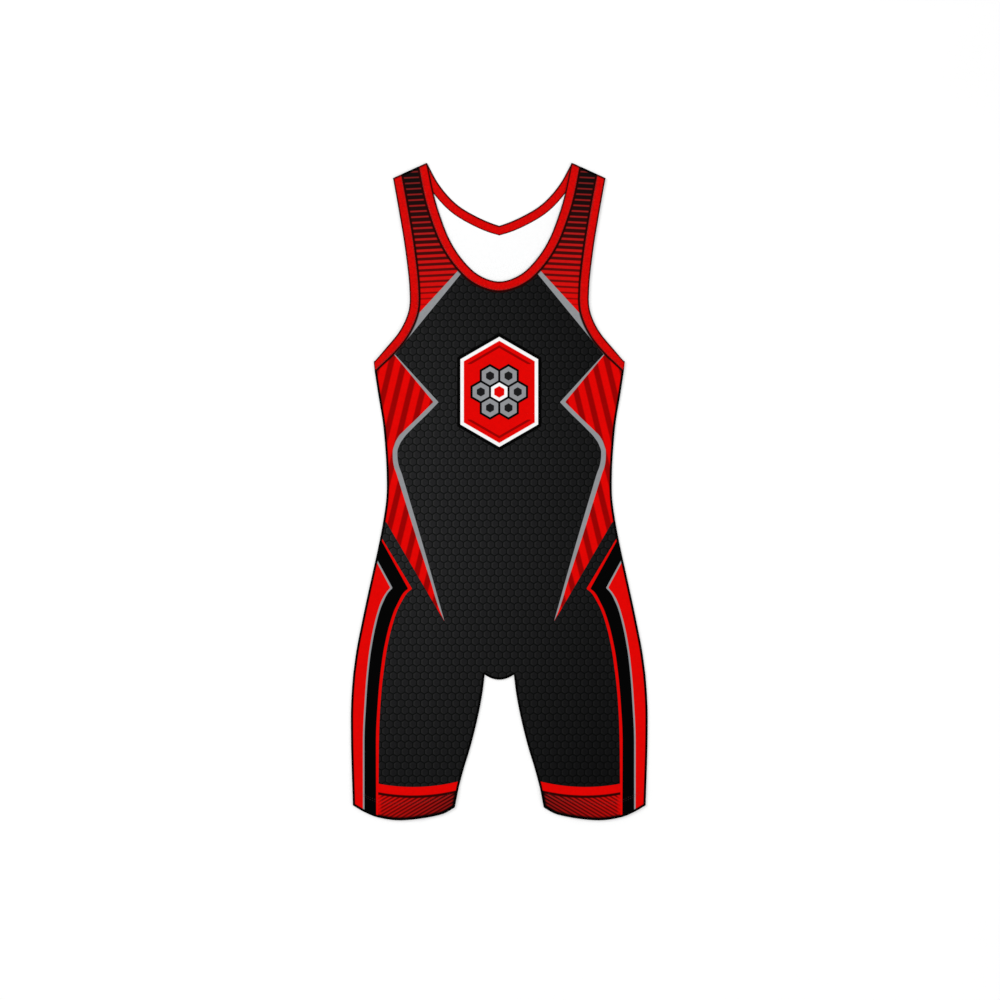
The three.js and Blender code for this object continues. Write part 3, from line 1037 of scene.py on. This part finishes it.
def badge(paint, across, along, colours):
    """A plain badge in the middle of the chest: an upright plate with a cluster of cells."""
    side = abs(across)
    rise = abs(along - BADGE["middle"])
    pitch = BADGE["pitch"]
    slant = rise * -SIXTY_HIGH - side * 0.5 + BADGE["half_tall"] * SIXTY_HIGH
    depth = (side * -1 + BADGE["half_wide"]).less_of(slant)
    for start, colour in ((-4.2, colours.black), (0, colours.white), (4.4, colours.red)):
        paint.cover(colour, depth.over(start))
    paint.cover(colours.red_dark, depth.between(*BADGE["bars"]) * rise.over(BADGE["bars_from"]))

    def cell_reach(x, y):
        x, y = abs(side - x), abs(rise - y)
        return x.more_of(x * 0.5 + y * SIXTY_HIGH)

    middle = cell_reach(0, 0)
    ring = cell_reach(pitch, 0).less_of(cell_reach(pitch / 2, pitch * SIXTY_HIGH))
    for colour, cells, reach in (
        (colours.black, ring.less_of(middle), pitch / 2 + 1.5),
        (colours.grey, ring, pitch / 2 - 1.4),
        (colours.cell, ring, pitch / 4 - 0.8),
        (colours.white, middle, pitch / 2 - 1.4),
        (colours.red, middle, pitch / 4 + 0.6),
    ):
        paint.cover(colour, cells.under(reach))


def side_bands(paint, half, along, colours):
    """The striped flashes at the sides and the bent bands down the thighs."""
    below_flash = along.over(FLASH_LOWER_EDGE[0][1]) * FLASH["beyond"]
    inside_lower_edge = half.under(paint.curve(along, FLASH_LOWER_EDGE) + below_flash)
    flash_zone = along.between(FLASH["tip"], FLASH["top"]) * inside_lower_edge
    stripes = flash_stripes(paint, half, along, colours)
    flash = paint.mix(colours.grey, stripes, half.over(paint.curve(along, FLASH_RED_EDGE)))
    paint.cover(flash, flash_zone * half.over(paint.curve(along, FLASH_GREY_EDGE)))
    for colour, edge in (
        (colours.red, CHEVRON_RED_OUTSIDE),
        (colours.black, CHEVRON_RED_INSIDE),
        (colours.grey, CHEVRON_GREY_OUTSIDE),
        (colours.red, CHEVRON_GREY_INSIDE),
    ):
        below_tip = along.under(edge[0][1])
        paint.cover(colour, below_tip * half.over(paint.curve(along, edge)))


def cuff(paint, half, along, colours):
    """The red band and the hatch at a leg's end. Gives the place of the hatch."""
    off_middle = half - CUFF["middle"]
    below_top = along - (off_middle * off_middle * CUFF["bow"] + CUFF["top"])
    inside_stripe = half.under(CUFF["outside"])
    hatch_zone = inside_stripe * (below_top + CUFF["band"]).under(0)
    paint.cover(colours.red, inside_stripe * below_top.under(0))
    paint.cover(cuff_hatch(paint, half, along), hatch_zone)
    paint.cover(colours.red, hatch_zone * half.over(CUFF["plain_from"], blur=3.2) * 0.6)
    half_foot = CUFF["half_foot"]
    band_foot = (below_top + CUFF["foot"]).between(-half_foot, half_foot, blur=1.1)
    paint.cover(srgb(50, 2, 1), inside_stripe * band_foot)
    return hatch_zone


def print_material(name, with_badge):
    """The printed face of the stretch knit."""
    colours = singlet_colours()
    paint = Paint(name, colours.cell, roughness=0.55, sheen=0.02, specular=0.015)
    across, along = paint.place()
    half = abs(across)
    honeycomb(paint, across, along, colours)
    above_yoke = (along - paint.straight(half, YOKE_UPPER_EDGE)).over(0)
    paint.cover(colours.grey, (along - paint.straight(half, YOKE_LOWER_EDGE)).over(0))
    paint.cover(strap_stripes(paint, half, along, colours), above_yoke)
    side_bands(paint, half, along, colours)
    hatch_zone = cuff(paint, half, along, colours)
    if with_badge:
        badge(paint, across, along, colours)
    # Painted shade: a dark red line on the panel along each binding's seam edge
    paint.cover(srgb(40, 3, 2), paint.point_value("bound_distance").under(1.6, blur=1.3))
    seam = paint.point_value("seam_distance")
    paint.cover(colours.black, hatch_zone * seam.under(4.3, blur=2.6))
    paint.cover(colours.black, seam.under(singlet_sizes().outline / MM, blur=0.8))
    grain = cloth_grain(paint).over(0.5, blur=0.35)
    weave = knit_bump(paint, across, along, 0.6)
    paint.cover(PURE_BLACK, grain * 0.08 + weave * 0.1)
    return paint.finished()


def reverse_material():
    """The unprinted inside of the knit."""
    colours = singlet_colours()
    paint = Paint("knit_reverse", colours.white, roughness=0.8, sheen=0.2, specular=0.2)
    across, along = paint.place()
    paint.cover(colours.black, paint.point_value("seam_distance").under(1.6, blur=0.6))
    weave = knit_bump(paint, across, along, 0.5)
    paint.cover(srgb(205, 207, 210), cloth_grain(paint) * 0.1 + weave * 0.08)
    return paint.finished()


def binding_material(width):
    """Satin stretch cloth of the bindings, with painted shade along its fold, its seam and where it
    turns over the shoulder.
    """
    colours = singlet_colours()
    paint = Paint(
        "binding_cloth", colours.binding_red, roughness=0.5, sheen=0.02, specular=0.02
    )
    strip = paint.add("ShaderNodeUVMap")
    strip.uv_map = "strip"
    along, inwards = paint.lengths(strip.outputs[0], "X", "Y")
    paint.cover(colours.red_dark, cloth_grain(paint, 450.0).over(0.5, blur=0.25) * 0.38)
    half_width, height = paint.place()
    above_shoulder = height - paint.straight(abs(half_width), SHOULDER_LINE)
    # Painted shade along the fold at the opening, along the seam edge, where the strip turns over
    # and above the shoulder line
    for dark in (
        inwards.under(1.95, blur=1.4),
        inwards.over(width / MM - 1.25, blur=1.2),
        paint.point_value("folding").over(0.3, blur=0.3),
        above_shoulder.over(-2.8, blur=2.2) * 0.9,
    ):
        paint.cover(colours.edge_shade, dark)
    paint.cover(PURE_BLACK, knit_bump(paint, inwards, along, 0.6) * 0.16)
    return paint.finished()


def thread_material(name):
    """Twisted sewing thread."""
    paint = Paint(name, singlet_colours().thread, roughness=0.5, sheen=0.3)
    across, along = paint.place()
    twist = (across * 0.7 + along * 0.7).wave(0.35)
    paint.cover(PURE_BLACK, twist * 0.25)
    return paint.finished()


def floor_material():
    """White paper that glows a little, as a light table does, so that its shadows stay faint."""
    paint = Paint("stage_floor", srgb(212, 212, 212), roughness=0.9, sheen=0.0, specular=0.1)
    paint.shader.inputs["Emission Color"].default_value = (1, 1, 1, 1)
    paint.shader.inputs["Emission Strength"].default_value = 0.36
    paint.cover(srgb(209, 209, 209), cloth_grain(paint, 6.0))
    return paint.finished()


# Operators


def declare_piece(piece, nodes):
    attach(piece, BODY)
    if nodes:
        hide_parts(*nodes)


class SINGLET_OT_panels(bpy.types.Operator):
    """Make the printed front and back panels"""

    bl_idname = "singlet.panels"
    bl_label = "Panels"

    HEM_ROWS = (20.0 * MM, 22.6 * MM)
    HEM_TRIM = 6 * MM

    def execute(self, context):
        reverse = reverse_material()
        thread = thread_material("hem_thread")
        for name, node, side in (
            ("back_cloth", "back_panel", BACK),
            ("front_cloth", "front_panel", FRONT),
        ):
            printed = print_material(name + "_print", with_badge=side == FRONT)
            cloth = PanelCloth(node, side)
            panel = cloth.make(name, printed, reverse)
            declare_piece(panel, [node])
            stitches = self.make_hem_stitches(panel, cloth.plan, side, thread)
        return {"FINISHED"}

    def make_hem_stitches(self, panel, plan, side, thread):
        """Two rows of stitches that hold the turned-up hems of one panel."""
        rows = []
        for hem in plan.hems:
            for height in self.HEM_ROWS:
                line = moved_inwards(hem, height, self.HEM_TRIM)
                rows.append(stitch_row(*laid_on(panel, line, side)))
        stitches = join_rows(panel.name.replace("cloth", "hem_stitches"), rows, thread)
        declare_piece(stitches, [])
        return stitches


class SINGLET_OT_bindings(bpy.types.Operator):
    """Make the folded bindings round the neck and the armholes, with their stitching"""

    bl_idname = "singlet.bindings"
    bl_label = "Bindings"

    STITCH_ROWS = (1.0, 2.4)

    def execute(self, context):
        thread = thread_material("binding_thread")
        cloth = None
        for node in BINDINGS:
            strip = BindingStrip(node)
            cloth = cloth or binding_material(strip.width)
            piece = strip.make(node.replace("binding", "binding_cloth"), cloth)
            declare_piece(piece, [node])
            insets = [strip.width / MM - row for row in self.STITCH_ROWS]
            rows = [stitch_row(*strip.outer_line(inset)) for inset in insets]
            stitches = join_rows(node.replace("binding", "binding_stitches"), rows, thread)
            declare_piece(stitches, [])
            strip.length()
        return {"FINISHED"}


class SINGLET_OT_stage(bpy.types.Operator):
    """Make the floor, the soft lights and the camera above"""

    bl_idname = "singlet.stage"
    bl_label = "Stage"

    PHOTO_MIDDLE = (0.00095, -0.0107)
    VIEW_WIDTH = 1.3
    LENS = 120.0
    SENSOR = 36.0
    FLOOR_HALF = 6.0
    FLOOR_LEVEL = -0.0004
    SURROUND = 0.62
    LIGHTS = (
        ("key_light", (-1.9, 1.3, 2.6), 2.2, 52.0),
        ("fill_light", (2.2, -1.5, 2.4), 2.6, 26.0),
    )

    def execute(self, context):
        self.make_floor()
        self.make_lights(context)
        self.make_camera(context)
        return {"FINISHED"}

    def make_floor(self):
        corners = [
            (right * self.FLOOR_HALF, up * self.FLOOR_HALF, self.FLOOR_LEVEL)
            for right, up in ((-1, -1), (1, -1), (1, 1), (-1, 1))
        ]
        floor = mesh_object("stage_floor", corners, [[0, 1, 2, 3]])
        floor.data.materials.append(floor_material())

    def make_lights(self, context):
        world = bpy.data.worlds.new("studio")
        world.use_nodes = True
        background = world.node_tree.nodes["Background"]
        background.inputs["Color"].default_value = (1, 1, 1, 1)
        background.inputs["Strength"].default_value = self.SURROUND
        context.scene.world = world
        for name, place, size, power in self.LIGHTS:
            light = bpy.data.lights.new(name, "AREA")
            light.shape = "DISK"
            light.size = size
            light.energy = power
            lamp = bpy.data.objects.new(name, light)
            lamp.location = place
            lamp.rotation_euler = (-Vector(place)).to_track_quat("-Z", "Y").to_euler()
            context.scene.collection.objects.link(lamp)

    def make_camera(self, context):
        data = bpy.data.cameras.new("overhead")
        data.lens = self.LENS
        data.sensor_width = self.SENSOR
        camera = bpy.data.objects.new("overhead", data)
        height = self.VIEW_WIDTH * self.LENS / self.SENSOR
        camera.location = (*self.PHOTO_MIDDLE, height)
        camera.rotation_euler = (0, 0, 0)
        context.scene.collection.objects.link(camera)
        context.scene.camera = camera
        context.scene.view_settings.view_transform = "Standard"


class SINGLET_PT_panel(bpy.types.Panel):
    """Lists the singlet's operators and settings in the sidebar"""

    bl_idname = "SINGLET_PT_panel"
    bl_label = "Singlet"
    bl_space_type = "VIEW_3D"
    bl_region_type = "UI"
    bl_category = "Singlet"

    def draw(self, context):
        for settings in (singlet_sizes(), singlet_colours()):
            for name in settings.__annotations__:
                self.layout.prop(settings, name)
        for operator in OPERATORS:
            self.layout.operator(operator.bl_idname)


OPERATORS = (SINGLET_OT_panels, SINGLET_OT_bindings, SINGLET_OT_stage)
CLASSES = (SingletSizes, SingletColours, *OPERATORS, SINGLET_PT_panel)


def register():
    for cls in CLASSES:
        bpy.utils.register_class(cls)
    bpy.types.Scene.singlet_sizes = bpy.props.PointerProperty(type=SingletSizes)
    bpy.types.Scene.singlet_colours = bpy.props.PointerProperty(type=SingletColours)


def unregister():
    del bpy.types.Scene.singlet_colours
    del bpy.types.Scene.singlet_sizes
    for cls in reversed(CLASSES):
        bpy.utils.unregister_class(cls)


def main():
    register()
    bpy.ops.singlet.panels()
    bpy.ops.singlet.bindings()
    bpy.ops.singlet.stage()


if __name__ == "__main__":
    main()
